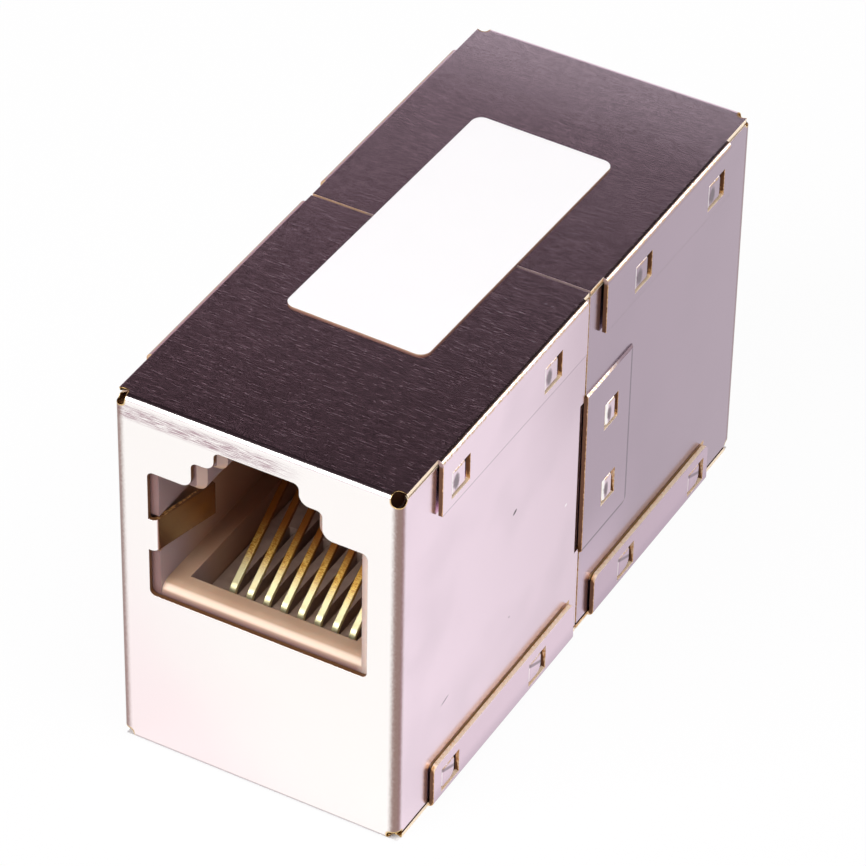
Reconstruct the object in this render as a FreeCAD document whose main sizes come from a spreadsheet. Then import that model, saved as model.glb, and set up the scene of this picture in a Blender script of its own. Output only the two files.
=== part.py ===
"""Inline coupler for two network plugs, in millimetres.

Two shells, each folded from one sheet of plated brass, meet at a seam and hold two jacks back to back.
Under the jacks lies a circuit board on an insulating base, and sixteen spring contacts are soldered into it.
X runs across, Y runs along the plugs' way with the front mouth towards -Y, and Z is up.
The origin is in the middle of the underside.
"""
import FreeCAD
import Part
import math
import os
import Sketcher

OUT = "parts"
TOLERANCE = 1e-4

SIZES = [
    ("body_width", 16.5, "across the side panels"),
    ("body_height", 22.9, "underside to top panel"),
    ("body_length", 37.7, "front face to rear face"),
    ("sheet", 0.25, "thickness of the folded sheet"),
    ("fold_radius", 0.36, "outside radius of every fold"),
    ("relief_radius", 0.42, "round relief through each corner of a face"),
    ("relief_depth", 1.2, "how far that relief reaches in from the corner"),
    ("edge_gap", 0.15, "between a side panel's edge and the panel above or below it"),
    ("flange_gap", 0.08, "between a side panel and the flange folded over it"),
    ("seam_distance", 19.3, "front face to the front shell's rear edge"),
    ("seam_gap", 0.15, "between the two shells"),
    ("upper_flange_drop", 3.5, "height of an upper flange"),
    ("lower_flange_rise", 2.7, "height of a lower flange"),
    ("flange_corner", 0.45, "rounding of a lower flange's corners"),
    ("window_length", 1.85, "window in a flange, along Y"),
    ("upper_window_inset", 1.3, "top panel to the upper windows"),
    ("upper_window_height", 1.7, "height of an upper window"),
    ("lower_window_inset", 0.5, "underside to the lower windows"),
    ("lower_window_height", 1.55, "height of a lower window"),
    ("front_upper_start", 3.6, "front face to the front shell's upper flanges"),
    ("front_upper_end", 18.7, "front face to the far end of those flanges"),
    ("front_upper_near", 4.5, "front face to their first window"),
    ("front_upper_far", 14.1, "front face to their second window"),
    ("front_lower_start", 3.3, "front face to the front shell's lower flanges"),
    ("front_lower_end", 18.5, "front face to the far end of those flanges"),
    ("front_lower_near", 4.1, "front face to their first window"),
    ("front_lower_far", 13.5, "front face to their second window"),
    ("rear_upper_start", 2.9, "rear face to the rear shell's upper flanges"),
    ("rear_upper_end", 16.9, "rear face to the far end of those flanges"),
    ("rear_upper_near", 3.6, "rear face to their first window"),
    ("rear_upper_far", 11.9, "rear face to their second window"),
    ("rear_lower_start", 3.5, "rear face to the rear shell's lower flanges"),
    ("rear_lower_end", 16.9, "rear face to the far end of those flanges"),
    ("rear_lower_near", 4.0, "rear face to their first window"),
    ("rear_lower_far", 12.3, "rear face to their second window"),
    ("latch_rise", 0.3, "how far a latch bump stands out of its side panel"),
    ("latch_length", 1.3, "length of a latch bump"),
    ("latch_slit", 0.22, "lower edge of a lower window to the bump inside it"),
    ("latch_gap", 0.05, "between a bump's rounded sides and the edges of its window"),
    ("latch_round", 0.26, "rounding of a bump's crest"),
    ("latch_corner", 0.45, "rounding of the free lower corner of a lower bump"),
    ("pad_bottom", 5.4, "underside to the raised pad beside the seam"),
    ("pad_top", 16.1, "underside to the pad's upper edge"),
    ("pad_length", 5.1, "seam to the pad's far edge"),
    ("pad_gap", 0.05, "between a tongue and the pad over it"),
    ("pad_corner", 0.6, "rounding of the pad's lower far corner"),
    ("pad_bend", 0.12, "bevel of the bends round the pad"),
    ("pad_window_offset", 2.0, "seam to the pad's windows"),
    ("pad_window_length", 1.5, "pad window, along Y"),
    ("pad_upper_window", 12.4, "underside to the pad's upper window"),
    ("pad_lower_window", 7.2, "underside to the pad's lower window"),
    ("pad_window_height", 1.7, "height of a pad window"),
    ("tongue_margin", 0.35, "pad's inner edge to the tongue under it"),
    ("tongue_length", 4.6, "how far the tongue reaches past the seam"),
    ("tongue_step", 0.15, "how far the tongue steps inward before the seam"),
    ("tongue_ramp", 0.45, "length of that step, along Y"),
    ("tongue_latch", 0.8, "length of a tongue's latch bump"),
    ("tongue_latch_inset", 0.3, "front edge of a pad window to the bump in it"),
    ("mouth_half", 6.4, "half width of the opening in a face"),
    ("mouth_bottom", 10.5, "underside to that opening"),
    ("mouth_shoulder", 18.6, "underside to the opening's shoulder"),
    ("middle_half", 3.8, "half width of the opening's middle step"),
    ("middle_top", 20.25, "underside to the top of the middle step"),
    ("narrow_half", 2.46, "half width of the opening's narrow step"),
    ("mouth_top", 21.45, "underside to the top of the opening"),
    ("mouth_corner", 0.35, "rounding of the opening's hollow corners"),
    ("mouth_nose", 0.6, "rounding of the corners that stand into the opening"),
    ("tab_bottom", 13.5, "underside to the earthing tab"),
    ("tab_height", 2.0, "height of the earthing tab"),
    ("tab_length", 4.0, "straight length of the earthing tab"),
    ("tab_angle", 13.5, "how far the tab leans into the mouth, in degrees"),
    ("tab_reach", 0.14, "opening's edge to the start of the tab's fold"),
    ("jack_clearance", 0.05, "between a jack and the shell in front of it and over it"),
    ("jack_side_gap", 0.2, "between a jack and the side panels"),
    ("jack_depth", 15.6, "length of a jack housing"),
    ("jack_edge", 0.3, "bevel of a housing's upper front edge, which keeps it off the shell's fold"),
    ("jack_corner", 1.1, "bevel of a housing's upright front edges"),
    ("sill_round", 0.8, "rounding of the sill's front edge"),
    ("plug_half", 5.92, "half width of the plug's space"),
    ("plug_floor", 11.15, "underside to the rails that the plug lies on"),
    ("plug_shoulder", 18.1, "underside to the top of the plug's space"),
    ("latch_middle_half", 3.25, "half width of the latch channel's lower step"),
    ("latch_middle_top", 19.9, "underside to the top of that step"),
    ("latch_narrow_half", 2.05, "half width of the latch channel's upper step"),
    ("latch_top", 21.2, "underside to the top of the latch channel"),
    ("latch_nose", 0.6, "rounding of the channel's steps"),
    ("plug_depth", 12.4, "how far a plug goes into a housing"),
    ("latch_depth", 9.2, "length of the latch channel"),
    ("lead_in", 0.4, "bevel round the housing's mouth"),
    ("sill_depth", 1.3, "housing's front to the well behind its sill"),
    ("well_half", 4.92, "half width of the well for the contacts"),
    ("comb_depth", 0.8, "depth of the slots that guide the contacts' tips"),
    ("comb_bottom", 13.2, "underside to the guide slots"),
    ("recess_depth", 0.6, "hollow in the housing's wall behind the earthing tab"),
    ("recess_margin", 0.15, "around the earthing tab"),
    ("recess_length", 5.0, "length of that hollow"),
    ("post_radius", 1.2, "locating posts under a housing"),
    ("post_offset", 6.4, "middle plane to a locating post"),
    ("post_depth", 9.0, "housing's front to the locating posts"),
    ("post_clearance", 0.08, "between a post and its hole"),
    ("board_bottom", 5.4, "underside to the circuit board"),
    ("board_thickness", 1.6, "thickness of the circuit board"),
    ("board_side_gap", 0.4, "between the circuit board and the side panels"),
    ("board_inset", 1.4, "shell's inside to the board's ends"),
    ("tail_clearance", 0.12, "around a tail in its plated slot"),
    ("base_wall", 1.0, "wall and floor of the insulating base"),
    ("base_side_gap", 0.05, "between the insulating base and the side panels"),
    ("base_rib", 1.2, "thickness of the base's cross ribs"),
    ("base_rib_offset", 3.6, "middle of the coupler to a cross rib"),
    ("seat_gap", 0.05, "between moulded pieces that rest on each other"),
    ("contact_pitch", 1.016, "contact to contact"),
    ("contact_width", 0.36, "width of a contact spring"),
    ("contact_thickness", 0.26, "thickness of a contact spring"),
    ("contact_angle", 33.0, "rise of a contact spring, in degrees"),
    ("contact_nose", 3.39, "housing face plane to the front of the springs' bends, at mid thickness"),
    ("contact_nose_radius", 0.8, "radius of the bend at the springs' front"),
    ("contact_run", 8.18, "underside to the level run of the springs"),
    ("contact_rise", 10.9, "length of the rising stretch of a spring"),
    ("contact_tail_near", 9.4, "face plane to the tails of the odd contacts"),
    ("contact_tail_far", 11.9, "face plane to the tails of the even contacts"),
    ("contact_bend", 0.6, "reach of the slanting stretch above a tail"),
    ("contact_below", 0.8, "how far a tail stands out under the board"),
    ("carrier_top", 9.2, "underside to the floor between the contacts"),
    ("carrier_clearance", 0.05, "around the contact carrier"),
    ("carrier_length", 12.2, "length of the contact carrier"),
    ("slot_clearance", 0.07, "each side of a contact in its slot"),
    ("label_width", 8.4, "across the label"),
    ("label_length", 19.5, "along the label"),
    ("label_thickness", 0.1, "thickness of the label"),
    ("label_corner", 0.6, "rounding of the label's corners"),
    ("label_shift", 0.26, "middle plane to the label's middle, towards -X"),
    ("label_place", 20.1, "front face to the label's middle"),
    ("label_turn", -1.3, "how far the label is turned, in degrees"),
]
CONTACTS = 8

doc = FreeCAD.newDocument("Coupler")
sheet = doc.addObject("Spreadsheet::Sheet", "Sizes")
for row, (alias, number, meaning) in enumerate(SIZES, start=1):
    sheet.set(f"A{row}", alias)
    sheet.set(f"B{row}", str(number))
    sheet.set(f"C{row}", meaning)
    sheet.setAlias(f"B{row}", alias)
doc.recompute()


class Size:
    """A length that carries both its number and the sheet expression that gives it."""

    def __init__(self, number, text):
        self.number = number
        self.text = text

    def join(self, other, sign, number):
        other_text = other.text if isinstance(other, Size) else str(other)
        return Size(number, f"({self.text} {sign} {other_text})")

    def __add__(self, other):
        return self.join(other, "+", self.number + as_number(other))

    def __sub__(self, other):
        return self.join(other, "-", self.number - as_number(other))

    def __mul__(self, other):
        return self.join(other, "*", self.number * as_number(other))

    def __truediv__(self, other):
        return self.join(other, "/", self.number / as_number(other))

    def __neg__(self):
        return Size(-self.number, f"(0 - {self.text})")

    def sine(self):
        return Size(math.sin(math.radians(self.number)), f"sin({self.text} * 1 deg)")

    def cosine(self):
        return Size(math.cos(math.radians(self.number)), f"cos({self.text} * 1 deg)")


def as_number(value):
    """The plain number of a Size or of a number."""
    return value.number if isinstance(value, Size) else value


def size(alias):
    """The Size that an alias of the sheet names."""
    return Size(float(sheet.get(alias)), f"Sizes.{alias}")


ZERO = Size(0.0, "0")
half_width = size("body_width") / 2
height = size("body_height")
face = -size("body_length") / 2
sheet_thickness = size("sheet")
fold = size("fold_radius")
flange_inside = half_width + size("flange_gap")
flange_outside = flange_inside + sheet_thickness
jack_front = face + sheet_thickness + size("jack_clearance")
board_top = size("board_bottom") + size("board_thickness")
side_top = height - sheet_thickness - size("edge_gap")
side_bottom = sheet_thickness + size("edge_gap")
HALF_TURN = FreeCAD.Placement(FreeCAD.Vector(0, 0, 0), FreeCAD.Rotation(FreeCAD.Vector(0, 0, 1), 180))
IN_PLACE = FreeCAD.Placement()


def new_body(name, placement=IN_PLACE):
    """An empty body; a piece of the rear half is the front one's twin, turned half round about Z."""
    body = doc.addObject("PartDesign::Body", name)
    body.Label = name
    body.Placement = placement
    return body


class Drawing:
    """Collects one sketch's lines, arcs and circles and their ties to the sheet, and adds them at once."""

    def __init__(self, body, name, role, start):
        """A sketch parallel to an origin plane, at the coordinate start along that plane's axis."""
        self.sketch = body.newObject("Sketcher::SketchObject", name)
        self.role = role
        origin_plane = [item for item in body.Origin.OriginFeatures if item.Role == role][0]
        self.sketch.AttachmentSupport = [(origin_plane, "")]
        self.sketch.MapMode = "FlatFace"
        offset = -start if role == "XZ_Plane" else start
        self.sketch.setExpression("AttachmentOffset.Base.z", offset.text)
        self.shapes = []
        self.constraints = []
        self.ties = []

    def tie(self, kind, where, value):
        """A constraint that holds a length of the sheet."""
        self.ties.append((len(self.constraints), value))
        self.constraints.append(Sketcher.Constraint(kind, *where, value.number))

    def pin(self, index, end, point):
        """Ties one end of a line, or a circle's middle, to a pair of coordinates."""
        self.tie("DistanceX", (-1, 1, index, end), point[0])
        self.tie("DistanceY", (-1, 1, index, end), point[1])

    def meet(self, first, first_end, second, second_end):
        self.constraints.append(Sketcher.Constraint("Coincident", first, first_end, second, second_end))

    def add_runs(self, runs, bends, closed=True):
        """Straight runs joined end to start, by a bend (its centre and radius) or, for None, directly."""
        base = len(self.shapes)
        for start, end in runs:
            self.shapes.append(Part.LineSegment(vector(start), vector(end)))
        for index, (start, end) in enumerate(runs):
            self.pin(base + index, 1, start)
            if bends[index] or (not closed and index == len(runs) - 1):
                self.pin(base + index, 2, end)
        for index in range(len(runs) if closed else len(runs) - 1):
            after = base + (index + 1) % len(runs)
            if bends[index] is None:
                self.meet(base + index, 2, after, 1)
            else:
                self.add_bend(base + index, after, *bends[index])

    def add_bend(self, before, after, centre, radius):
        """The shorter arc about a centre, from the end of one line to the start of another."""
        middle = vector(centre)
        first = self.shapes[before].EndPoint - middle
        last = self.shapes[after].StartPoint - middle
        angles = [math.atan2(arm.y, arm.x) for arm in (first, last)]
        forward = first.x * last.y - first.y * last.x > 0
        low, high = angles if forward else reversed(angles)
        if high < low:
            high += 2 * math.pi
        circle = Part.Circle(middle, FreeCAD.Vector(0, 0, 1), radius.number)
        arc = len(self.shapes)
        self.shapes.append(Part.ArcOfCircle(circle, low, high))
        self.meet(before, 2, arc, 1 if forward else 2)
        self.meet(after, 1, arc, 2 if forward else 1)
        self.tie("Radius", (arc,), radius)

    def add_outline(self, points, radii=None):
        """A closed outline through points; a square corner that has a radius is rounded."""
        count = len(points)
        starts, ends, bends = [], [], []
        for here, radius in enumerate(radii or [None] * count):
            corner = points[here]
            if radius is None:
                start = end = corner
                bends.append(None)
            else:
                start = step_towards(corner, points[here - 1], radius)
                end = step_towards(corner, points[(here + 1) % count], radius)
                bends.append(((start[0] + end[0] - corner[0], start[1] + end[1] - corner[1]), radius))
            starts.append(start)
            ends.append(end)
        runs = list(zip(ends, starts[1:] + starts[:1]))
        self.add_runs(runs, bends[1:] + bends[:1])

    def add_circles(self, centres, radius):
        """Circles of one radius about the given points."""
        for centre in centres:
            self.shapes.append(Part.Circle(vector(centre), FreeCAD.Vector(0, 0, 1), radius.number))
            self.pin(len(self.shapes) - 1, 3, centre)
            self.tie("Radius", (len(self.shapes) - 1,), radius)

    def finish(self):
        """Puts everything into the sketch and returns it."""
        self.sketch.addGeometry(self.shapes, False)
        self.sketch.addConstraint(self.constraints)
        for index, value in self.ties:
            self.sketch.setExpression(f"Constraints[{index}]", value.text)
        return self.sketch


def step_towards(here, there, distance):
    """The point at a distance from here towards there, along X or along Y."""
    across = there[0].number - here[0].number
    along = there[1].number - here[1].number
    if abs(across) > abs(along):
        return (here[0] + distance if across > 0 else here[0] - distance, here[1])
    return (here[0], here[1] + distance if along > 0 else here[1] - distance)


def vector(point):
    """A pair of Sizes as a point of a sketch."""
    return FreeCAD.Vector(point[0].number, point[1].number, 0)


def rectangle(low, high):
    """Corners of a rectangle between two opposite corners, anticlockwise."""
    return [low, (high[0], low[1]), high, (low[0], high[1])]


def mirrored(points):
    """An outline reflected to the other side of the middle plane."""
    return [(-across, up) for across, up in reversed(points)]


def turned_round(points):
    """An outline turned half round about the origin."""
    return [(-across, -along) for across, along in points]


def extrude(body, name, role, start, length, outlines, radius=None, cut=False):
    """Pads or pockets outlines from start, along the positive axis of an origin plane, by a length."""
    drawing = Drawing(body, name + "_outline", role, start)
    for points in outlines:
        drawing.add_outline(points, radius and [radius] * len(points))
    return extrude_drawing(body, name, drawing, length, cut)


def extrude_drawing(body, name, drawing, length, cut=False):
    """Pads or pockets a drawing along the positive axis of its origin plane."""
    feature = body.newObject("PartDesign::Pocket" if cut else "PartDesign::Pad", name)
    feature.Profile = drawing.finish()
    feature.Type = "Length"
    feature.setExpression("Length", length.text)
    feature.Reversed = (drawing.role == "XZ_Plane") != cut
    doc.recompute()
    return feature


def sized(points):
    """Triples of Sizes as plain vectors."""
    return [FreeCAD.Vector(*(value.number for value in point)) for point in points]


def edges_at(feature, points):
    """Names of the edges of a feature whose middles lie at the given points."""
    names = []
    for index, edge in enumerate(feature.Shape.Edges, start=1):
        middle = edge.valueAt((edge.FirstParameter + edge.LastParameter) / 2)
        if any((middle - point).Length < TOLERANCE * 100 for point in points):
            names.append(f"Edge{index}")
    return names


def round_edges(body, name, feature, points, radius):
    """A fillet on the edges whose middles are given."""
    fillet = body.newObject("PartDesign::Fillet", name)
    fillet.Base = (feature, edges_at(feature, sized(points)))
    fillet.setExpression("Radius", radius.text)
    doc.recompute()
    return fillet


def bevel_edges(body, name, feature, points, width):
    """An even bevel on the edges whose middles are given."""
    bevel = body.newObject("PartDesign::Chamfer", name)
    bevel.Base = (feature, edges_at(feature, sized(points)))
    bevel.setExpression("Size", width.text)
    doc.recompute()
    return bevel


def face_outline():
    """The stepped opening in a face, with its latch steps above."""
    half = size("mouth_half")
    bottom = size("mouth_bottom")
    return stepped_outline(half, bottom, size("mouth_shoulder"), size("middle_half"), size("middle_top"),
                           size("narrow_half"), size("mouth_top"))


def stepped_outline(half, bottom, shoulder, middle_half, middle_top, narrow_half, top):
    """A wide space with two narrower steps on top, symmetric about the middle plane."""
    right = [(half, bottom), (half, shoulder), (middle_half, shoulder), (middle_half, middle_top),
             (narrow_half, middle_top), (narrow_half, top)]
    return right + mirrored(right)


def folded_flange(side, panel_outer, inward, tip):
    """Section of a panel's edge folded over a side panel: its straight runs and its two bends.

    inward is -1 for a top panel and 1 for a bottom one, and tip is the height at which the flange ends.
    """
    bend_across = flange_outside - fold
    bend_height = panel_outer + fold * inward
    panel_inner = panel_outer + sheet_thickness * inward
    root = half_width - fold * 2
    runs = [((root, panel_outer), (bend_across, panel_outer)),
            ((flange_outside, bend_height), (flange_outside, tip)),
            ((flange_outside, tip), (flange_inside, tip)),
            ((flange_inside, tip), (flange_inside, bend_height)),
            ((bend_across, panel_inner), (root, panel_inner)), ((root, panel_inner), (root, panel_outer))]
    centre = (bend_across, bend_height)
    if side < 0:
        runs = [tuple((-across, up) for across, up in run) for run in runs]
        centre = (-bend_across, bend_height)
    bends = [(centre, fold), None, None, (centre, fold - sheet_thickness), None, None]
    return runs, bends


def add_flanges(body, name, panel_outer, inward, tip, start, end):
    """The pair of flanges of one panel, from start to end."""
    drawing = Drawing(body, name + "_outline", "XZ_Plane", start)
    for side in (1, -1):
        drawing.add_runs(*folded_flange(side, panel_outer, inward, tip))
    return extrude_drawing(body, name, drawing, end - start)


def cut_windows(body, name, starts, length, bottom, window_height, surface):
    """Windows on both sides through all that lies outside a surface, which leave what is under it whole."""
    outlines = [rectangle((start, bottom), (start + length, bottom + window_height)) for start in starts]
    extrude(body, name + "_right", "YZ_Plane", surface, fold, outlines, cut=True)
    extrude(body, name + "_left", "YZ_Plane", -(surface + fold), fold, outlines, cut=True)


def add_latches(body, name, starts, length, low, high, surface, turned, lower):
    """Bumps pressed out of both side panels, rounded towards the face and above, and lanced free behind.

    An upper bump is rounded below too; a lower one is free there, and its free corner is round.
    """
    base = surface - sheet_thickness / 2
    rise_height = size("latch_rise") + sheet_thickness / 2
    middle = (low + high) / 2
    corners = [None] * 4
    if lower:
        corners[0 if turned else 1] = size("latch_corner")
    for side, side_name, root in ((1, "_right", base), (-1, "_left", -(base + rise_height))):
        drawing = Drawing(body, name + side_name + "_outline", "YZ_Plane", root)
        edges = []
        for start in starts:
            end = start + length
            drawing.add_outline(rectangle((start, low), (end, high)), corners)
            places = [(end if turned else start, middle), ((start + end) / 2, high)]
            if not lower:
                places.append(((start + end) / 2, low))
            edges += [((base + rise_height) * side, along, level) for along, level in places]
        bumps = extrude_drawing(body, name + side_name, drawing, rise_height)
        round_edges(body, name + side_name + "_dome", bumps, edges, size("latch_round"))


def make_shell(name, depth, prefix, placement, turned):
    """A five-sided box folded back from its face, open at the seam, with flanges over its side panels.

    A turned shell has the front of its windows at the far end of its own Y.
    """
    body = new_body(name, placement)
    block = extrude(body, name + "_block", "XZ_Plane", face, depth,
                    [rectangle((-half_width, ZERO), (half_width, height))])
    rim = [(half_width, face, height / 2), (-half_width, face, height / 2), (ZERO, face, height),
           (ZERO, face, ZERO)]
    round_edges(body, name + "_folds", block, rim, fold)
    inner_face = face + sheet_thickness
    inside = [rectangle((sheet_thickness - half_width, sheet_thickness),
                        (half_width - sheet_thickness, height - sheet_thickness))]
    hollow = extrude(body, name + "_hollow", "XZ_Plane", inner_face, depth, inside, cut=True)
    inner_half = half_width - sheet_thickness
    inner_rim = [(inner_half, inner_face, height / 2), (-inner_half, inner_face, height / 2),
                 (ZERO, inner_face, height - sheet_thickness), (ZERO, inner_face, sheet_thickness)]
    round_edges(body, name + "_inner_folds", hollow, inner_rim, fold - sheet_thickness)
    cut_edge_gaps(body, name, depth)
    cut_reliefs(body, name)
    hollow_corner, nose = size("mouth_corner"), size("mouth_nose")
    right_corners = [hollow_corner, hollow_corner, nose, hollow_corner, nose, hollow_corner]
    mouth = Drawing(body, name + "_mouth_outline", "XZ_Plane", face)
    mouth.add_outline(face_outline(), right_corners + right_corners[::-1])
    extrude_drawing(body, name + "_mouth", mouth, sheet_thickness, cut=True)
    add_tab(body, name)
    upper = [face + size(f"{prefix}_upper_{end}") for end in ("start", "end", "near", "far")]
    lower = [face + size(f"{prefix}_lower_{end}") for end in ("start", "end", "near", "far")]
    add_flanges(body, name + "_upper_flanges", height, -1, height - size("upper_flange_drop"), *upper[:2])
    rise = size("lower_flange_rise")
    flanges = add_flanges(body, name + "_lower_flanges", ZERO, 1, rise, *lower[:2])
    middle = (flange_inside + flange_outside) / 2
    corners = [(across, along, rise) for across in (middle, -middle) for along in lower[:2]]
    round_edges(body, name + "_lower_corners", flanges, corners, size("flange_corner"))
    upper_height = size("upper_window_height")
    upper_bottom = height - size("upper_window_inset") - upper_height
    rows = (("upper", upper[2:], upper_bottom, upper_height),
            ("lower", lower[2:], size("lower_window_inset"), size("lower_window_height")))
    length = size("window_length")
    gap = size("latch_gap")
    latch_length = size("latch_length")
    for row, starts, bottom, window_height in rows:
        cut_windows(body, f"{name}_{row}_windows", starts, length, bottom, window_height, half_width)
        feet = [start + length - gap - latch_length if turned else start + gap for start in starts]
        low = bottom + (gap if row == "upper" else size("latch_slit"))
        high = bottom + window_height - gap
        add_latches(body, f"{name}_{row}_latches", feet, latch_length, low, high, half_width, turned,
                    row == "lower")
    return body


def cut_edge_gaps(body, name, depth):
    """Slits that part each side panel from the top and bottom panels, back from the face's fold."""
    reach = half_width + sheet_thickness
    inner = half_width - sheet_thickness
    outlines = []
    for low, high in ((side_top, height - sheet_thickness), (sheet_thickness, side_bottom)):
        slit = rectangle((inner, low), (reach, high))
        outlines += [slit, mirrored(slit)]
    extrude(body, name + "_edge_gaps", "XZ_Plane", face + fold, depth, outlines, cut=True)


def cut_reliefs(body, name):
    """Round holes where the folds meet at each corner of the face, each along the corner's diagonal."""
    corners = ((1, height, -1), (-1, height, -1), (1, ZERO, 1), (-1, ZERO, 1))
    for index, (side, level, upward) in enumerate(corners):
        hole = body.newObject("PartDesign::SubtractiveCylinder", f"{name}_relief_{index + 1}")
        hole.setExpression("Radius", size("relief_radius").text)
        hole.setExpression("Height", (size("relief_depth") * 2).text)
        inward = FreeCAD.Vector(-side, 1, upward).normalize()
        hole.Placement.Rotation = FreeCAD.Rotation(FreeCAD.Vector(0, 0, 1), inward)
        reach = size("relief_depth") * inward.y
        hole.setExpression("Placement.Base.x", (half_width * side + reach * side).text)
        hole.setExpression("Placement.Base.y", (face - reach).text)
        hole.setExpression("Placement.Base.z", (level - reach * upward).text)
        doc.recompute()


def add_tab(body, name):
    """The earthing tab: a strip of the face folded into the mouth at its left edge, leaning inward."""
    lean = size("tab_angle")
    root = -size("mouth_half") - size("tab_reach")
    bend = (root + size("tab_reach") * 2, face + fold)
    inner = fold - sheet_thickness
    cosine, sine = lean.cosine(), lean.sine()
    outer_bend = (bend[0] + fold * cosine, bend[1] - fold * sine)
    inner_bend = (bend[0] + inner * cosine, bend[1] - inner * sine)
    run = size("tab_length")
    outer_tip = (outer_bend[0] + run * sine, outer_bend[1] + run * cosine)
    inner_tip = (inner_bend[0] + run * sine, inner_bend[1] + run * cosine)
    root_outer = (root - sheet_thickness, face)
    root_inner = (root - sheet_thickness, face + sheet_thickness)
    runs = [(root_outer, (bend[0], face)), (outer_bend, outer_tip), (outer_tip, inner_tip),
            (inner_tip, inner_bend), ((bend[0], face + sheet_thickness), root_inner),
            (root_inner, root_outer)]
    drawing = Drawing(body, name + "_tab_outline", "XY_Plane", size("tab_bottom"))
    drawing.add_runs(runs, [(bend, fold), None, None, (bend, inner), None, None])
    extrude_drawing(body, name + "_tab", drawing, size("tab_height"))


def add_tongues(body, name, seam):
    """Tongues that carry the side panels on past the seam, a little further in, with two bumps each."""
    margin = size("tongue_margin")
    low = size("pad_bottom") + margin
    high = size("pad_top") - margin
    step = size("tongue_step")
    start = seam - size("tongue_ramp")
    tip = seam + size("tongue_length")
    outer = half_width - step
    inner = outer - sheet_thickness
    depth = sheet_thickness + step
    notches = [rectangle((start, low), (seam + margin, high))]
    for side_name, base in (("_right", inner), ("_left", -half_width)):
        extrude(body, name + side_name + "_notch", "YZ_Plane", base, depth, notches, cut=True)
    section = [(half_width - sheet_thickness, start), (half_width, start), (outer, seam), (outer, tip),
               (inner, tip), (inner, seam)]
    extrude(body, name, "XY_Plane", low, high - low, [section, mirrored(section)])
    foot = seam + size("seam_gap") + size("pad_window_offset") + size("tongue_latch_inset")
    for window in ("upper", "lower"):
        window_low = size(f"pad_{window}_window")
        bump_low = window_low + size("latch_gap")
        bump_high = window_low + size("pad_window_height") - size("latch_gap")
        add_latches(body, f"{name}_{window}_bump", [foot], size("tongue_latch"), bump_low, bump_high,
                    outer, False, False)


def add_pads(body, name, seam):
    """Raised pads of the rear shell, each pushed out to take a tongue, with two windows."""
    rise = sheet_thickness - size("tongue_step") + size("pad_gap")
    inner = half_width - sheet_thickness
    margin = sheet_thickness
    low, high = size("pad_bottom"), size("pad_top")
    start = seam - size("pad_length")
    pads = rectangle((start, low), (seam, high))
    outer = half_width + rise
    for side, side_name, base in ((1, "_right", inner), (-1, "_left", -outer)):
        pad = extrude(body, name + side_name, "YZ_Plane", base, rise + sheet_thickness, [pads])
        corner = ((half_width + outer) / 2 * side, start, low)
        rounded = round_edges(body, name + side_name + "_corner", pad, [corner], size("pad_corner"))
        far_edge = (outer * side, start, (low + size("pad_corner") + high) / 2)
        upper_edge = (outer * side, (start + seam) / 2, high)
        bevel_edges(body, name + side_name + "_bends", rounded, [far_edge, upper_edge], size("pad_bend"))
    room = [rectangle((start + margin, low + margin), (seam + margin, high - margin))]
    extrude(body, name + "_right_room", "YZ_Plane", inner - margin, rise + margin, room, cut=True)
    extrude(body, name + "_left_room", "YZ_Plane", -(inner + rise), rise + margin, room, cut=True)
    length = size("pad_window_length")
    near = [seam - size("pad_window_offset") - length]
    for window in ("upper", "lower"):
        cut_windows(body, f"{name}_{window}_window", near, length, size(f"pad_{window}_window"),
                    size("pad_window_height"), inner + rise)


def make_housing(name, placement):
    """A moulded jack: plug space with latch steps, sill, contact well, guide comb and locating posts."""
    body = new_body(name, placement)
    clearance = size("jack_clearance")
    outer = half_width - sheet_thickness - size("jack_side_gap")
    bottom = board_top
    top = height - sheet_thickness - clearance
    depth = size("jack_depth")
    block = extrude(body, name + "_block", "XZ_Plane", jack_front, depth,
                    [rectangle((-outer, bottom), (outer, top))])
    middle = (bottom + top) / 2
    upright = [(outer, jack_front, middle), (-outer, jack_front, middle)]
    bevelled = bevel_edges(body, name + "_upright_edges", block, upright, size("jack_corner"))
    bevel_edges(body, name + "_upper_edge", bevelled, [(ZERO, jack_front, top)], size("jack_edge"))
    half = size("plug_half")
    floor_level = size("plug_floor")
    channel = stepped_outline(half, floor_level, size("plug_shoulder"), size("latch_middle_half"),
                              size("latch_middle_top"), size("latch_narrow_half"), size("latch_top"))
    latch_space = Drawing(body, name + "_latch_space_outline", "XZ_Plane", jack_front)
    steps = [None, None, size("latch_nose"), None, size("latch_nose"), None]
    latch_space.add_outline(channel, steps + steps[::-1])
    extrude_drawing(body, name + "_latch_space", latch_space, size("latch_depth"), cut=True)
    space = extrude(body, name + "_plug_space", "XZ_Plane", jack_front, size("plug_depth"),
                    [rectangle((-half, floor_level), (half, size("plug_shoulder")))], cut=True)
    finish_mouth(body, name, space)
    well = size("well_half")
    carrier_bottom = bottom - clearance
    well_start = jack_front + size("sill_depth")
    well_end = well_start + size("carrier_length") + clearance * 2
    extrude(body, name + "_well", "XY_Plane", carrier_bottom, floor_level - carrier_bottom + clearance,
            [rectangle((-well, well_start), (well, well_end))], cut=True)
    cut_comb(body, name)
    recess_low = size("tab_bottom") - size("recess_margin")
    recess_height = size("tab_height") + size("recess_margin") * 2
    recess_end = jack_front + size("recess_length")
    recess = rectangle((-half - size("recess_depth"), jack_front - clearance),
                       (-half + clearance, recess_end))
    extrude(body, name + "_tab_recess", "XY_Plane", recess_low, recess_height, [recess], cut=True)
    add_posts(body, name)


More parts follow.
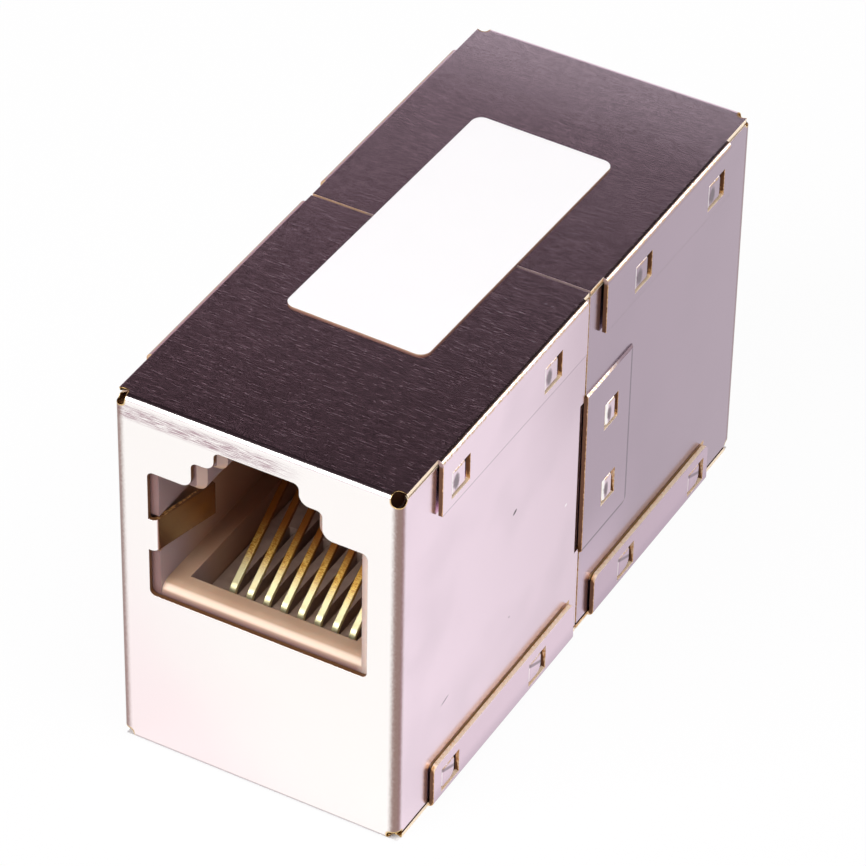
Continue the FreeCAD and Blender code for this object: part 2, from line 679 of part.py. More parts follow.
def finish_mouth(body, name, feature):
    """Rounds the sill and bevels the rest of the plug space's mouth."""
    half = size("plug_half")
    shoulder = size("plug_shoulder")
    middle_half, middle_top = size("latch_middle_half"), size("latch_middle_top")
    narrow_half, top = size("latch_narrow_half"), size("latch_top")
    floor_level = size("plug_floor")
    nose = size("latch_nose")
    sill = round_edges(body, name + "_sill", feature, [(ZERO, jack_front, floor_level)], size("sill_round"))
    sill_level = floor_level - size("sill_round")
    points = [(ZERO, jack_front, top)]
    for side in (1, -1):
        points += [(half * side, jack_front, (sill_level + shoulder) / 2),
                   ((half + middle_half + nose) / 2 * side, jack_front, shoulder),
                   (middle_half * side, jack_front, (shoulder + nose + middle_top) / 2),
                   ((middle_half + narrow_half + nose) / 2 * side, jack_front, middle_top),
                   (narrow_half * side, jack_front, (middle_top + nose + top) / 2)]
    bevel_edges(body, name + "_lead_in", sill, points, size("lead_in"))


def contact_offset(index):
    """Middle plane to contact number index, counted from 1 at -X."""
    return size("contact_pitch") * (index - (CONTACTS + 1) / 2)


def cut_comb(body, name):
    """Slots in the back wall of the plug space that keep the contacts' tips apart."""
    half = size("contact_width") / 2 + size("slot_clearance")
    low = size("comb_bottom")
    high = size("plug_shoulder")
    outlines = []
    for index in range(1, CONTACTS + 1):
        middle = contact_offset(index)
        outlines.append(rectangle((middle - half, low), (middle + half, high)))
    start = jack_front + size("plug_depth") - size("jack_clearance")
    extrude(body, name + "_comb", "XZ_Plane", start, size("comb_depth") + size("jack_clearance"), outlines,
            cut=True)


def post_centres():
    """Middles of the two locating posts of one housing, seen from above."""
    along = jack_front + size("post_depth")
    return [(size("post_offset"), along), (-size("post_offset"), along)]


def add_posts(body, name):
    """Posts that reach down through the circuit board."""
    drawing = Drawing(body, name + "_posts_outline", "XY_Plane", size("board_bottom"))
    drawing.add_circles(post_centres(), size("post_radius"))
    extrude_drawing(body, name + "_posts", drawing, size("board_thickness") + size("seat_gap"))


def tail_place(index):
    """Face plane to the tail of a contact: the tails stand in two rows."""
    return face + size("contact_tail_near" if index % 2 else "contact_tail_far")


def make_carrier(name, placement):
    """The comb that holds eight contacts: a slab with a slot and a tail hole for each."""
    body = new_body(name, placement)
    clearance = size("carrier_clearance")
    half = size("well_half") - clearance
    start = jack_front + size("sill_depth") + size("carrier_clearance")
    end = start + size("carrier_length")
    bottom = board_top
    extrude(body, name + "_slab", "XY_Plane", bottom, size("carrier_top") - bottom,
            [rectangle((-half, start), (half, end))])
    slot_half = size("contact_width") / 2 + size("slot_clearance")
    gap = size("slot_clearance") / 2
    floor_level = size("contact_run") - size("contact_thickness") / 2 - gap
    slot_start = face + size("contact_nose") - size("contact_thickness") / 2 - gap
    slots = []
    holes = []
    for index in range(1, CONTACTS + 1):
        middle = contact_offset(index)
        tail = tail_place(index)
        slot_end = tail + size("contact_thickness") / 2 + gap
        hole_start = tail - size("contact_bend") - gap
        slots.append(rectangle((middle - slot_half, slot_start), (middle + slot_half, slot_end)))
        holes.append(rectangle((middle - slot_half, hole_start), (middle + slot_half, slot_end)))
    slot_depth = size("carrier_top") - floor_level + gap
    extrude(body, name + "_slots", "XY_Plane", floor_level, slot_depth, slots, cut=True)
    hole_depth = floor_level - bottom + gap * 2
    extrude(body, name + "_tail_holes", "XY_Plane", bottom - gap, hole_depth, holes, cut=True)


def make_contact(name, index, placement):
    """A spring contact: tail through the board, level run forward, bend at the nose, long rising stretch."""
    body = new_body(name, placement)
    across = contact_offset(index)
    half = size("contact_width") / 2
    thick = size("contact_thickness") / 2
    tail = tail_place(index)
    run = size("contact_run")
    bend = size("contact_bend")
    nose = size("contact_nose_radius")
    nose_centre = (face + size("contact_nose") + nose, run + nose)
    rise = size("contact_angle")
    sine, cosine = rise.sine(), rise.cosine()
    below = size("board_bottom") - size("contact_below")
    turn_end = (nose_centre[0] - nose * sine, nose_centre[1] + nose * cosine)
    tip = (turn_end[0] + size("contact_rise") * cosine, turn_end[1] + size("contact_rise") * sine)
    path = Drawing(body, name + "_path", "YZ_Plane", across)
    runs = [((tail, below), (tail, run - bend)), ((tail, run - bend), (tail - bend, run)),
            ((tail - bend, run), (nose_centre[0], run)), (turn_end, tip)]
    path.add_runs(runs, [None, None, (nose_centre, nose), None], closed=False)
    section = Drawing(body, name + "_section", "XY_Plane", below)
    section.add_outline(rectangle((across - half, tail - thick), (across + half, tail + thick)))
    wire = body.newObject("PartDesign::AdditivePipe", name + "_wire")
    wire.Spine = (path.finish(), [])
    wire.Profile = section.finish()
    wire.Transition = "Right corner"
    doc.recompute()


def make_board():
    """The circuit board under both jacks, with plated slots for the tails and holes for the posts."""
    body = new_body("circuit_board")
    half = half_width - sheet_thickness - size("board_side_gap")
    end = -(face + sheet_thickness + size("board_inset"))
    bottom = size("board_bottom")
    thickness = size("board_thickness")
    extrude(body, "board_sheet", "XY_Plane", bottom, thickness - size("seat_gap"),
            [rectangle((-half, -end), (half, end))])
    across_gap = size("contact_width") / 2 + size("tail_clearance")
    along_gap = size("contact_thickness") / 2 + size("tail_clearance")
    slots = []
    for index in range(1, CONTACTS + 1):
        across, along = contact_offset(index), tail_place(index)
        slot = rectangle((across - across_gap, along - along_gap), (across + across_gap, along + along_gap))
        slots += [slot, turned_round(slot)]
    extrude(body, "board_tail_slots", "XY_Plane", bottom, thickness, slots, cut=True)
    holes = Drawing(body, "board_post_holes_outline", "XY_Plane", bottom)
    centres = post_centres() + turned_round(post_centres())
    holes.add_circles(centres, size("post_radius") + size("post_clearance"))
    extrude_drawing(body, "board_post_holes", holes, thickness, cut=True)


def make_base():
    """The insulating base: an open tray that stands on the bottom panel and carries the board on its rim."""
    body = new_body("insulating_base")
    half = half_width - sheet_thickness - size("base_side_gap")
    end = -(face + fold)
    wall = size("base_wall")
    bottom = sheet_thickness
    top = size("board_bottom") - size("seat_gap")
    extrude(body, "base_block", "XY_Plane", bottom, top - bottom, [rectangle((-half, -end), (half, end))])
    rib = size("base_rib_offset")
    rib_half = size("base_rib") / 2
    inner = half - wall
    rooms = [rectangle((-inner, rib + rib_half), (inner, end - wall)),
             rectangle((-inner, -rib + rib_half), (inner, rib - rib_half)),
             rectangle((-inner, wall - end), (inner, -rib - rib_half))]
    extrude(body, "base_rooms", "XY_Plane", bottom + wall, top - bottom, rooms, cut=True)


def make_label():
    """The sticker on the top panels: it lies across the seam, a little turned."""
    body = new_body("label")
    half, end = size("label_width") / 2, size("label_length") / 2
    extrude(body, "label_sheet", "XY_Plane", height, size("label_thickness"),
            [rectangle((-half, -end), (half, end))], radius=size("label_corner"))
    body.setExpression("Placement.Base.x", (-size("label_shift")).text)
    body.setExpression("Placement.Base.y", (face + size("label_place")).text)
    body.setExpression("Placement.Rotation.Angle", f"{size('label_turn').text} * 1 deg")


def check_document():
    """Stops if any object failed or any piece is empty, unsound or not one solid."""
    for item in doc.Objects:
        if "Invalid" in item.State or "Error" in item.State:
            raise RuntimeError(f"{item.Name} failed: {item.State}")
    for body in doc.findObjects("PartDesign::Body"):
        shape = body.Shape
        if shape.isNull() or not shape.isValid() or len(shape.Solids) != 1:
            raise RuntimeError(f"{body.Label} is not one sound solid")


def main():
    """Builds every piece, checks it and writes it to its own file."""
    front_depth = size("seam_distance")
    rear_depth = size("body_length") - size("seam_distance") - size("seam_gap")
    front = make_shell("front_shell", front_depth, "front", IN_PLACE, False)
    add_tongues(front, "front_shell_tongues", face + front_depth)
    rear = make_shell("rear_shell", rear_depth, "rear", HALF_TURN, True)
    add_pads(rear, "rear_shell_pads", face + rear_depth)
    for half_name, placement in (("front", IN_PLACE), ("rear", HALF_TURN)):
        make_housing(f"{half_name}_jack_housing", placement)
        make_carrier(f"{half_name}_contact_carrier", placement)
        for index in range(1, CONTACTS + 1):
            make_contact(f"{half_name}_contact_{index}", index, placement)
    make_board()
    make_base()
    make_label()
    doc.recompute()
    check_document()
    os.makedirs(OUT, exist_ok=True)
    for body in doc.findObjects("PartDesign::Body"):
        shape = body.Shape
        print(f"{body.Label}: {shape.Volume:.2f} mm3, {len(shape.Faces)} faces")
        shape.exportStep(os.path.join(OUT, body.Label + ".step"))


main()
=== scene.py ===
"""Dresses the inline coupler: folded nickel-plated shells, ivory jacks, gold contacts and a bare white label.

Everything is in metres in the part's own frame: X across, Y from the front mouth to the rear one, Z up.
"""
import math

import bmesh
import bpy
import numpy as np
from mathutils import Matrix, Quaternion, Vector


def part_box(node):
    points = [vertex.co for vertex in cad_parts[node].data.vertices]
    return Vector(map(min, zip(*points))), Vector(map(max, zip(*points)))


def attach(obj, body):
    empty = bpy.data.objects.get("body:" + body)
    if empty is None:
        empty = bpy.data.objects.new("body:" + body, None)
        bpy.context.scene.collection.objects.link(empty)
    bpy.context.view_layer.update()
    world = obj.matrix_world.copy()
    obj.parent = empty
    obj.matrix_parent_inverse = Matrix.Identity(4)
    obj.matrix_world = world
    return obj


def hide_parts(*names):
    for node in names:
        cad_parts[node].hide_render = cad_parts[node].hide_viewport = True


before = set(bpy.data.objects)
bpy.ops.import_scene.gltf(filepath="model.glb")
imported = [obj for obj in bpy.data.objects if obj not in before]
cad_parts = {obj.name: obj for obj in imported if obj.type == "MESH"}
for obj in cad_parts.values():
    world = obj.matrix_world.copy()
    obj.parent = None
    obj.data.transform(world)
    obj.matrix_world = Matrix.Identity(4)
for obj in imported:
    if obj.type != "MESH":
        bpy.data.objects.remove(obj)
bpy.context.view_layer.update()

MM = 0.001
BODY = "root"
CONTACTS = 8
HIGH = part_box("rear_shell")[1]

# The shares of plain white that the floor shows to the camera and in the metal
FLOOR_SEEN, FLOOR_MIRRORED = 0.945, 0.82

# Sizes and places on the coupler in millimetres
FACE = HIGH.y / MM
MIDDLE = HIGH.z / 2 / MM
BASE_TO_OUTSIDE = 0.3
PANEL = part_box("insulating_base")[1].x / MM + BASE_TO_OUTSIDE
CORNER = PANEL + FACE
HOLE_INSET = 0.38
HOLE = (PANEL - HOLE_INSET, FACE - HOLE_INSET, MIDDLE - HOLE_INSET)
UPPER_FLANGE_END = 19.4
LOWER_FLANGE_END = 2.7
MOUTH_SIDE = 7.7
SCRATCHES = 22.0
TOP_FOLD = 22.2
# Where the painted reflection on the top begins, towards the rear
TOP_SHEEN_START = 11.0
NARROW = 0.3
LEAST_STEP, MOST_STEP = 0.01, 0.2
LATCH_RISE, LATCH_AREA = 0.3, 4.0
PAD_LOW, PAD_HIGH, PAD_END = 5.6, 16.1, 5.5
CONTACT_END = -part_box("front_contact_1")[0].y / MM

# Marks of wear: place along and up, half length, half width, tilt in degrees and colour
WEAR = ((-6.93, 13.6, 0.22, 0.09, 25, (60, 44, 54)), (-14.0, 6.13, 0.4, 0.05, 15, (150, 128, 142)),
        (-1.18, 9.96, 0.12, 0.06, 20, (255, 250, 252)), (-7.21, 6.69, 0.07, 0.05, 0, (120, 98, 110)))


def linear(red, green, blue):
    """A colour given in 0 to 255 display values, as the linear values that a shader takes."""
    return tuple(((c / 255 + 0.055) / 1.055) ** 2.4 if c > 10.31 else c / 3294.6 for c in (red, green, blue))


class Signal:
    """A number that varies over a surface: one output of a shader node, with plain arithmetic."""

    def __init__(self, finish, socket):
        self.finish = finish
        self.socket = socket

    def math(self, operation, *others):
        return self.finish.node("ShaderNodeMath", {"operation": operation}, [self, *others])

    def __add__(self, other):
        return self.math("ADD", other)

    __radd__ = __add__

    def __mul__(self, other):
        return self.math("MULTIPLY", other)

    __rmul__ = __mul__

    def __sub__(self, other):
        return self.math("SUBTRACT", other)

    def __rsub__(self, other):
        return self.finish.node("ShaderNodeMath", {"operation": "SUBTRACT"}, [other, self])

    def __abs__(self):
        return self.math("ABSOLUTE")

    def ramp(self, low, high):
        """0 below low, 1 above high and a smooth rise between; high may be the lower one."""
        inputs = {"Value": self, "From Min": low, "From Max": high}
        return self.finish.node("ShaderNodeMapRange", {"interpolation_type": "SMOOTHSTEP"}, inputs)


class Finish:
    """A material with one Principled shader, and the ways to make patterns for it."""

    def __init__(self, name):
        self.material = bpy.data.materials.new(name)
        self.material.use_nodes = True
        self.tree = self.material.node_tree
        self.shader = self.tree.nodes["Principled BSDF"]
        place = self.node("ShaderNodeTexCoord", {}, {}, output="Object")
        self.place = self.node("ShaderNodeVectorMath", {"operation": "SCALE"}, {0: place, "Scale": 1 / MM})
        self.across, self.along, self.up = self.split(self.place)

    def node(self, kind, settings, inputs, output=0):
        """A node of a kind: its settings first, then values or links for its sockets."""
        made = self.tree.nodes.new(kind)
        for key, value in settings.items():
            setattr(made, key, value)
        pairs = inputs.items() if isinstance(inputs, dict) else enumerate(inputs)
        for key, value in pairs:
            if isinstance(value, Signal):
                self.tree.links.new(value.socket, made.inputs[key])
            else:
                made.inputs[key].default_value = value
        return Signal(self, made.outputs[output])

    def split(self, vector):
        """The three parts of a vector."""
        return [self.node("ShaderNodeSeparateXYZ", {}, [vector], output=axis) for axis in "XYZ"]

    def join(self, *parts):
        """A vector of three parts."""
        return self.node("ShaderNodeCombineXYZ", {}, parts)

    def facing(self):
        """The three parts of the surface's own direction."""
        return self.split(self.node("ShaderNodeTexCoord", {}, {}, output="Normal"))

    def stretched(self, scales):
        """The place in millimetres, multiplied axis by axis."""
        return self.node("ShaderNodeVectorMath", {"operation": "MULTIPLY"}, [self.place, scales])

    def noise(self, scales, detail=2.0, roughness=0.5):
        """Soft noise from 0 to 1, with so many waves in each millimetre along each axis."""
        inputs = {"Vector": self.stretched(scales), "Scale": 1.0, "Detail": detail, "Roughness": roughness}
        return self.node("ShaderNodeTexNoise", {}, inputs)

    def attribute(self, name):
        """A number stored on the mesh."""
        return self.node("ShaderNodeAttribute", {"attribute_name": name}, {}, output="Fac")

    def blend(self, first, second, share):
        """One colour turning into another as share goes from 0 to 1."""
        made = self.tree.nodes.new("ShaderNodeMix")
        made.data_type = "RGBA"
        for key, value in (("Factor_Float", share), ("A_Color", first), ("B_Color", second)):
            socket = next(s for s in made.inputs if s.identifier == key)
            if isinstance(value, Signal):
                self.tree.links.new(value.socket, socket)
            else:
                socket.default_value = value if key == "Factor_Float" else (*value, 1.0)
        return Signal(self, next(s for s in made.outputs if s.identifier == "Result_Color"))

    def set(self, **values):
        """Sets the shader's sockets, named with underscores for spaces."""
        for key, value in values.items():
            socket = self.shader.inputs[key.replace("_", " ")]
            if isinstance(value, Signal):
                self.tree.links.new(value.socket, socket)
            else:
                socket.default_value = (*value, 1.0) if isinstance(value, tuple) else value

    def relief(self, height, distance, rounding=0.0):
        """Bumps the surface by a height in millimetres; rounding softens every edge by that radius."""
        inputs = {"Height": height * MM, "Distance": distance, "Strength": 1.0}
        if rounding:
            inputs["Normal"] = self.node("ShaderNodeBevel", {"samples": 6}, {"Radius": rounding * MM})
        self.set(Normal=self.node("ShaderNodeBump", {}, inputs))


def hole_distance(f):
    """How far a place is from the axis of the nearest corner's relief hole, which runs through the corner."""
    offset = f.join(abs(f.across) - HOLE[0], abs(f.along) - HOLE[1], abs(f.up - MIDDLE) - HOLE[2])
    across = f.node("ShaderNodeVectorMath", {"operation": "CROSS_PRODUCT"}, [offset, (3 ** -0.5,) * 3])
    return f.node("ShaderNodeVectorMath", {"operation": "LENGTH"}, [across], output="Value")


class SheetFinish(Finish):
    """A shell's finish, with the directions and the patterns that its parts share."""

    def __init__(self, end):
        super().__init__(end + "_nickel")
        self.end = end
        self.right, self.front, self.above = self.facing()
        self.side, self.flat = (abs(part).ramp(0.75, 0.97) for part in (self.right, self.above))
        self.rearward = self.along.ramp(-FACE, FACE)
        self.brushed = self.noise((1.0, 34.0, 34.0), detail=2.0, roughness=0.7)
        self.speckle = self.noise((7.0, 7.0, 7.0), detail=2.0) - 0.5


def side_tone(f, near, far, low):
    """The side panels, from the near tone to the far one, and the lower flanges in the low tone: painted
    reflection and shade of one plate.
    Painted shade darkens the front panel near the seam and each lower flange towards the fold under it; a
    painted reflection lightens the rear panel low down near the pad."""
    panel = f.blend(linear(*near), linear(*far), f.along.ramp(-FACE if f.end == "front" else 0.0, FACE))
    panel = f.blend(panel, linear(150, 134, 148), f.noise((0.1, 0.16, 0.16)).ramp(0.4, 0.8) * 0.16)
    if f.end == "front":
        # Painted shade: the front panel darker high up near the seam
        panel = f.blend(panel, linear(176, 154, 167), f.along.ramp(-7.0, 0.4) * f.up.ramp(13.0, 18.5) * 0.45)
    else:
        # Painted reflection: the rear panel lighter low down near the pad
        panel = f.blend(panel, linear(208, 184, 203), f.along.ramp(8.0, 1.0) * f.up.ramp(9.0, 2.5) * 0.7)
    # Painted shade: each lower flange darker towards the fold under it
    flange = f.blend(linear(*low), linear(150, 126, 148), f.up.ramp(1.4, 0.1) * 0.4)
    skirt = f.up.ramp(LOWER_FLANGE_END + 0.5, LOWER_FLANGE_END - 0.3)
    skirt = skirt * abs(f.across).ramp(PANEL + 0.15, PANEL + 0.25)
    return f.blend(panel, flange, skirt)


def top_tone(f, streak):
    """The top, darker than the face as painted shade and lightened towards the rear by a painted reflection,
    and lighter along its brushed streaks.
    """
    # Painted shade and reflection: the top darker at the front, lighter towards the rear
    top = f.blend(linear(192, 160, 169), linear(198, 180, 189), f.rearward)
    top = f.blend(top, linear(238, 226, 233), f.along.ramp(TOP_SHEEN_START, FACE))
    return f.blend(top, linear(230, 207, 216), streak)


def fold_shade_and_marks(f, plate):
    """The folds: brown at the upright corners, worn plate and painted shade together; grey underneath as
    painted shade; a speckled straw-coloured painted highlight where a flange turns down; dark along the top's
    left fold and on the foot as painted shade; and scratched just under the top's front fold."""
    # Painted shade on the foot and along the top's left fold
    foot = f.up.ramp(0.5, 0.4) * f.above.ramp(0.4, 0.9)
    left_fold = f.across.ramp(-PANEL - 0.1, -PANEL - 0.2) * f.up.ramp(TOP_FOLD, TOP_FOLD + 0.2)
    plate = f.blend(plate, linear(112, 88, 84), foot.math("MAXIMUM", left_fold) * 0.85)
    scratched = abs(f.up - SCRATCHES).ramp(0.6, 0.25) * f.brushed.ramp(0.42, 0.6)
    scratched = scratched * abs(f.front) * f.across.ramp(3.0, 0.0)
    plate = f.blend(plate, linear(160, 120, 134), scratched * 0.9)
    # Worn plate and painted shade at the upright corners
    corner = (abs(f.across) + abs(f.along) + f.speckle * 0.15).ramp(CORNER - 0.6, CORNER - 0.2)
    plate = f.blend(plate, linear(128, 90, 80), corner * 0.88)
    # Painted shade under the downward-facing folds
    under = (abs(f.right).math("MAXIMUM", abs(f.front)) * f.above * -2).ramp(0.1, 0.9)
    plate = f.blend(plate, linear(140, 118, 124), under * 0.7)
    # Painted highlight, speckled, where a flange turns down
    brow = (abs(f.right) * f.above * 2).ramp(0.3, 0.8) * (f.speckle + 0.4).ramp(0.2, 0.55)
    return f.blend(plate, linear(206, 172, 122), brow * 0.8)


def pad_outline(f, plate):
    """The raised pad's step in painted shade, darker away from the seam, and a fine painted shade line inside
    its far and lower edges.
    """
    # Painted shade on the pad's step
    plate = f.blend(plate, linear(84, 70, 78), f.attribute("step") * (f.along.ramp(2.2, 4.4) * 0.57 + 0.4))
    if f.end == "rear":
        # Painted shade line inside the pad's far and lower edges
        beyond = (f.along - PAD_END).math("MAXIMUM", PAD_LOW - f.up)
        edge_shade = abs(beyond).ramp(0.1, 0.03) * f.up.ramp(PAD_HIGH, PAD_HIGH - 0.3) * f.side
        plate = f.blend(plate, linear(96, 82, 96), edge_shade * 0.7)
    return plate


def mouth_and_rims(f, plate):
    """The earthing tab in the mouth in painted shade, bare brass round the relief holes brightened as a
    painted highlight, and a painted shadow line along the upper flanges' lower rims.
    """
    # Painted shade on the earthing tab inside the mouth
    tab = f.side * abs(f.across).ramp(MOUTH_SIDE + 0.1, MOUTH_SIDE - 0.1)
    plate = f.blend(plate, linear(150, 112, 80), tab * 0.9)
    # Bare brass round each relief hole, brightened as a painted highlight
    plate = f.blend(plate, linear(226, 190, 128), hole_distance(f).ramp(0.5, 0.43))
    # Painted shadow line along each upper flange's lower rim
    lower_rim = abs(f.up - UPPER_FLANGE_END).ramp(0.09, 0.03) * abs(f.across).ramp(PANEL + 0.15, PANEL + 0.2)
    return f.blend(plate, linear(150, 128, 140), lower_rim * 0.5)


def latch_shade(f, plate):
    """Painted shade on each pressed latch: a dark oval, and a dark slanting line along the crease instead on
    those in the lower flanges.
    """
    latch, latch_along, latch_up = (f.attribute(name) for name in ("latch", "latch_along", "latch_up"))
    spot_along, spot_up = (latch_along + 0.3) * 1.3, (latch_up + 0.05) * 0.95
    # Painted shade: a dark oval on the dome, and a dark line along the lower latches' crease
    shade_spot = (spot_along * spot_along + spot_up * spot_up + f.speckle * 0.3).ramp(0.55, 0.1)
    crease_shade = abs(latch_up - 0.35 + latch_along * 0.4).ramp(0.25, 0.08)
    higher = f.up.ramp(LOWER_FLANGE_END + 0.3, LOWER_FLANGE_END + 0.8)
    latch_shading = shade_spot * higher + crease_shade * (1 - higher) * 0.8
    return f.blend(plate, linear(96, 80, 88), latch_shading * latch * 0.85)


def worn(f, plate):
    """The plate with a few small marks of wear on the right side, each a tilted ellipse."""
    outside = f.across.ramp(PANEL - 0.2, PANEL - 0.1)
    for along, up, length, width, tilt, colour in WEAR:
        lean, rise = math.cos(math.radians(tilt)), math.sin(math.radians(tilt))
        ahead = ((f.along - along) * lean + (f.up - up) * rise) * (1 / length)
        aside = ((f.up - up) * lean - (f.along - along) * rise) * (1 / width)
        plate = f.blend(plate, linear(*colour), (ahead * ahead + aside * aside).ramp(1.3, 0.5) * outside)
    return plate


def bare_brass(f):
    """Brass on the cut edges: brown on the inside of the sheet, and darker in the mouth as painted shade;
    gold and cream as a painted highlight on the outside and where an edge looks up or sideways; and along the
    seam of the top, a painted highlight on the left and greyer painted shade on the right."""
    rim = f.attribute("rim")
    # Painted highlight: brighter at the outer rim and where an edge looks up or sideways
    bright = rim * rim * rim * 0.7 + f.above.math("MAXIMUM", 0.0) * 0.75 + abs(f.right) * 0.5
    bright = bright + f.speckle * 0.8
    # Painted shade on the cut edges in the mouth
    mouth = abs(f.across).ramp(MOUTH_SIDE + 0.1, MOUTH_SIDE - 0.1) * abs(f.along).ramp(7.0, 9.0)
    brass = f.blend(linear(112, 76, 46), linear(222, 174, 108), (bright - mouth).ramp(0.35, 0.55))
    brass = f.blend(brass, linear(255, 238, 206), (bright - mouth).ramp(0.55, 0.85))
    # Along the top's seam: a painted highlight on the left, greyer painted shade on the right
    seam = f.blend(linear(196, 162, 128), linear(164, 142, 138), f.across.ramp(-5.2, -4.6))
    return f.blend(brass, seam, f.up.ramp(TOP_FOLD + 0.25, TOP_FOLD + 0.4) * abs(f.front))


def tucked_panel(f):
    """1 on the strip of side panel that lies just behind a lower flange's upper edge, 0 elsewhere."""
    height = abs(f.up - LOWER_FLANGE_END + 0.1).ramp(0.2, 0.14)
    behind = abs(f.across).ramp(PANEL + 0.06, PANEL + 0.03) * f.side
    start = f.along.ramp(-0.3, -0.4) if f.end == "front" else f.along.ramp(1.9, 2.0)
    return height * behind * start * abs(f.along).ramp(15.5, 15.3)


def nickel_sheet(end, near, far, low):
    """Nickel plate on brass. The face is nearly white; the sides and the brushed top carry darker tones of
    the same plate as painted reflection and shade. Bare brass shows where the sheet is cut."""
    f = SheetFinish(end)
    drawn = f.noise((9.0, 0.5, 9.0), detail=2.0)
    cloud = f.noise((0.12, 0.12, 0.12), detail=1.0)
    warm = (f.up * 0.06 + f.across * 0.05 + cloud).ramp(0.0, 1.2)
    streak = f.brushed.ramp(0.54, 0.78) * f.flat * (1 - f.rearward * 0.6)
    plate = f.blend(linear(254, 239, 240), linear(255, 251, 248), warm)
    plate = f.blend(plate, side_tone(f, near, far, low), f.side)
    plate = f.blend(plate, top_tone(f, streak), f.flat)
    for marks in (fold_shade_and_marks, pad_outline, mouth_and_rims, latch_shade):
        plate = marks(f, plate)
    if end == "front":
        plate = worn(f, plate)
    cut, crevice_reflection = f.attribute("cut"), tucked_panel(f)
    # Painted reflection: a tan, less metallic strip behind each lower flange's upper edge, lit in place of
    # the gap's shade
    plate = f.blend(plate, linear(206, 164, 112), crevice_reflection)
    f.set(Base_Color=f.blend(plate, bare_brass(f), cut), Metallic=1 - cut.math("MAXIMUM", crevice_reflection) * 0.7)
    f.set(Roughness=0.2 + streak * 0.16 - f.flat * 0.04 + cut * 0.2)
    f.relief(f.brushed * (1 - f.side) * 0.002 + drawn * f.side * 0.0006, 1.0, rounding=0.04)
    return f.material


def ivory_plastic(name="ivory_plastic"):
    """Satin moulded plastic: ivory at the mouth, with painted shade greyer on its walls there and browner
    further in. Its front is in painted shade, tan at the sill and mauve-brown above it, and paler at the
    right as painted light; the sill's rounded edge has a painted highlight, and the corners behind the relief
    holes are in painted shade."""
    f = Finish(name)
    right, front, above = f.facing()
    cloud = f.noise((0.5, 0.5, 0.5), detail=3.0)
    ivory = f.blend(linear(184, 152, 126), linear(194, 164, 138), cloud.ramp(0.3, 0.7))
    # Painted shade on the front: tan at the sill, mauve-brown above it; painted light paler at the right
    facade = f.blend(linear(176, 138, 108), linear(124, 94, 90), f.up.ramp(6.5, 8.5))
    facade = f.blend(facade, linear(226, 206, 190), f.across.ramp(5.5, 6.5))
    ivory = f.blend(ivory, facade, abs(front).ramp(0.8, 1.0))
    # Painted highlight on the sill's rounded edge
    ivory = f.blend(ivory, linear(228, 204, 180), (abs(front) * above * 2).ramp(0.8, 1.0))
    # Painted shade: greyer walls near the mouth, browner further in
    ivory = f.blend(ivory, linear(158, 138, 138), abs(right).ramp(0.5, 0.9) * abs(f.along).ramp(14.0, 17.0))
    ivory = f.blend(ivory, linear(150, 108, 80), abs(f.along).ramp(16.6, 11.0))
    # Painted shade on the corners seen through the relief holes
    ivory = f.blend(ivory, linear(84, 58, 42), hole_distance(f).ramp(0.6, 0.5))
    f.set(Base_Color=ivory, Roughness=0.34 + cloud * 0.1, Subsurface_Weight=0.15, Subsurface_Scale=0.6 * MM)
    f.relief(f.noise((9.0, 9.0, 9.0), detail=2.0) * 0.003, 1.0, rounding=0.08)
    return f.material


def grey_plastic():
    """The contact carriers' grey-brown plastic."""
    f = Finish("grey_plastic")
    cloud = f.noise((1.5, 1.5, 1.5), detail=3.0)
    plastic = f.blend(linear(168, 144, 130), linear(184, 160, 146), cloud.ramp(0.3, 0.7))
    f.set(Base_Color=plastic, Roughness=0.55)
    f.relief(f.noise((14.0, 14.0, 14.0)) * 0.004, 1.0, rounding=0.05)
    return f.material


def contact_gold():
    """Gold plate on spring wire: a pale painted highlight where it starts at the mouth, and darker and
    browner painted shade further in.
    """
    f = Finish("contact_gold")
    marks = f.noise((6.0, 26.0, 26.0), detail=3.0, roughness=0.7)
    distance = abs(f.along)
    gold = f.blend(linear(196, 130, 26), linear(255, 222, 120), marks.ramp(0.42, 0.58))
    # Painted highlight: pale at the end near the mouth
    highlight = linear(255, 248, 196)
    inward = distance.ramp(CONTACT_END - 0.8, CONTACT_END - 2.3)
    gold = f.blend(highlight, gold, inward)
    # Painted shade: browner further in
    gold = f.blend(gold, linear(140, 82, 28), distance.ramp(CONTACT_END - 1.6, CONTACT_END - 3.9))
    f.set(Base_Color=gold, Metallic=0.8, Roughness=0.34 + marks * 0.1 - inward * 0.06)
    f.relief(marks * 0.004, 1.0, rounding=0.06)
    return f.material


def board_laminate():
    """Green solder mask."""
    f = Finish("board_laminate")
    weave = f.noise((2.5, 2.5, 2.5), detail=2.0)
    f.set(Base_Color=f.blend(linear(22, 84, 48), linear(34, 110, 62), weave), Roughness=0.35)
    return f.material


def label_film():
    """Smooth white film, brown at its cut edge."""
    f = Finish("label_film")
    cloud = f.noise((0.3, 0.3, 0.3), detail=2.0)
    film = f.blend(linear(245, 247, 246), linear(247, 249, 248), cloud)
    f.set(Base_Color=f.blend(linear(160, 132, 104), film, f.facing()[2].ramp(0.2, 0.7)), Roughness=0.42)
    f.relief(f.noise((0.4, 0.4, 0.4), detail=2.0) * 0.01, 1.0, rounding=0.06)
    return f.material


def merged_copy(name, node):
    """A copy of a CAD node's mesh, and its surface open for work, the triangles joined at their corners."""
    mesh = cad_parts[node].data.copy()
    mesh.name = name
    mesh.materials.clear()
    work = bmesh.new()
    work.from_mesh(mesh)
    bmesh.ops.remove_doubles(work, verts=work.verts, dist=1e-7)
    return mesh, work


